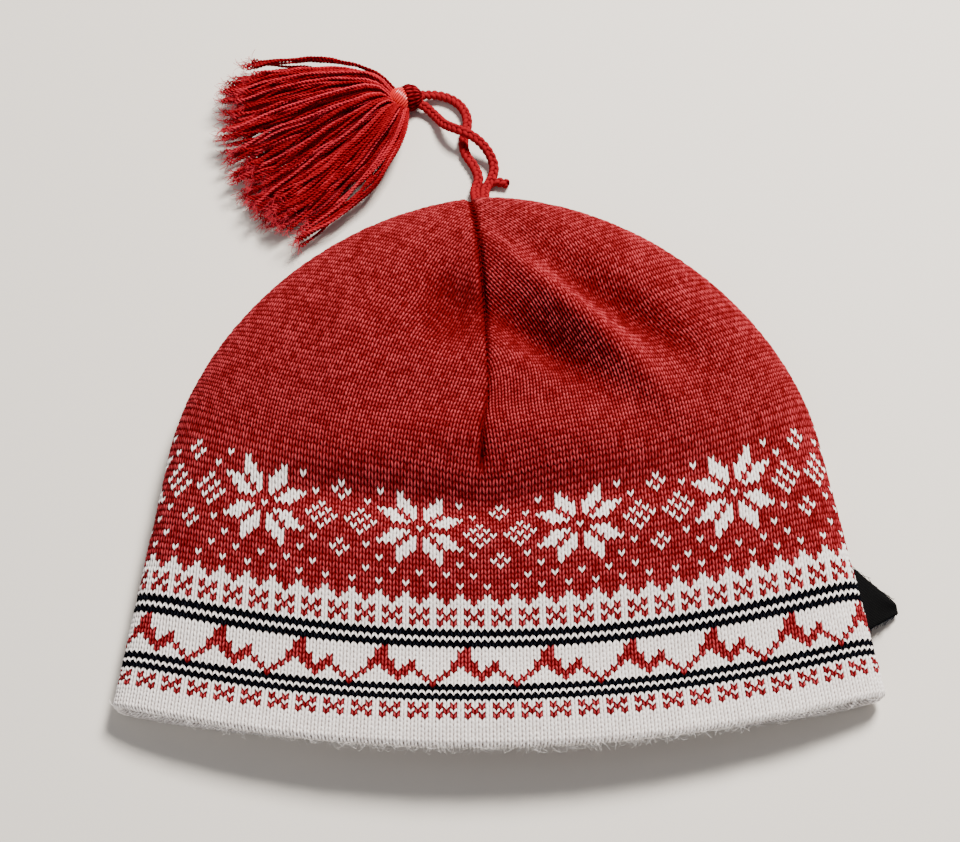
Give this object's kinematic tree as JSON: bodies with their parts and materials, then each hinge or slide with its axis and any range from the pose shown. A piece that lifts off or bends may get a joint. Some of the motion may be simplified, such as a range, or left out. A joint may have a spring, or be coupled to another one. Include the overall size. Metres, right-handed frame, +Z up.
{
  "type": "knit beanie",
  "caption": "Patterned knit beanie with four crown gores, a soft ear band inside and a tassel on a doubled cord.",
  "frame": {"origin": "on the flat underside of the hat's back layer, on its centre line, as the hat lies flat on a table", "axes": "+X across the hat towards the side with the label, +Y from the hem to the crown tip, +Z up"},
  "size_m": [0.2349, 0.2585, 0.0329],
  "materials": {
    "red_knit": "satin",
    "white_knit": "matte",
    "seam_thread": "matte",
    "fleece": "matte",
    "label_textile": "matte",
    "cord_yarn": "satin",
    "satin_wrap": "gloss",
    "tassel_yarn": "satin"
  },
  "bodies": {
    "hat": {"knit_shell": "red_knit", "hem_stitching": "white_knit", "headband_stitching": "seam_thread", "front_dart_seam": "seam_thread", "back_dart_seam": "seam_thread", "left_dart_seam": "seam_thread", "right_dart_seam": "seam_thread", "side_seam_lower": "seam_thread", "side_seam_upper": "seam_thread", "label_stitching": "seam_thread", "fleece_headband": "fleece", "cord_root": "cord_yarn"},
    "cord": {"cord_leg_a": "cord_yarn", "cord_leg_b": "cord_yarn", "cord_stub": "cord_yarn"},
    "tassel": {"tassel_knot": "satin_wrap", "tassel_neck": "satin_wrap", "tassel_skirt": "tassel_yarn"},
    "label": {"label_tab": "label_textile"}
  },
  "joints": [
    {"name": "cord_swing", "type": "hinge", "parent": "hat", "child": "cord", "pos_m": [-0.0032, 0.1025, 0.005], "axis": [0, 0, 1], "range_deg": [-55, 2]},
    {"name": "tassel_swing", "type": "hinge", "parent": "cord", "child": "tassel", "pos_m": [-0.029, 0.1495, 0.0052], "axis": [0, 0, 1], "range_deg": [-95, 2]},
    {"name": "label_flap", "type": "hinge", "parent": "hat", "child": "label", "pos_m": [0.10975, -0.04575, 0.0065], "axis": [0.1348, -0.9909, 0], "range_deg": [0, 110]}
  ]
}
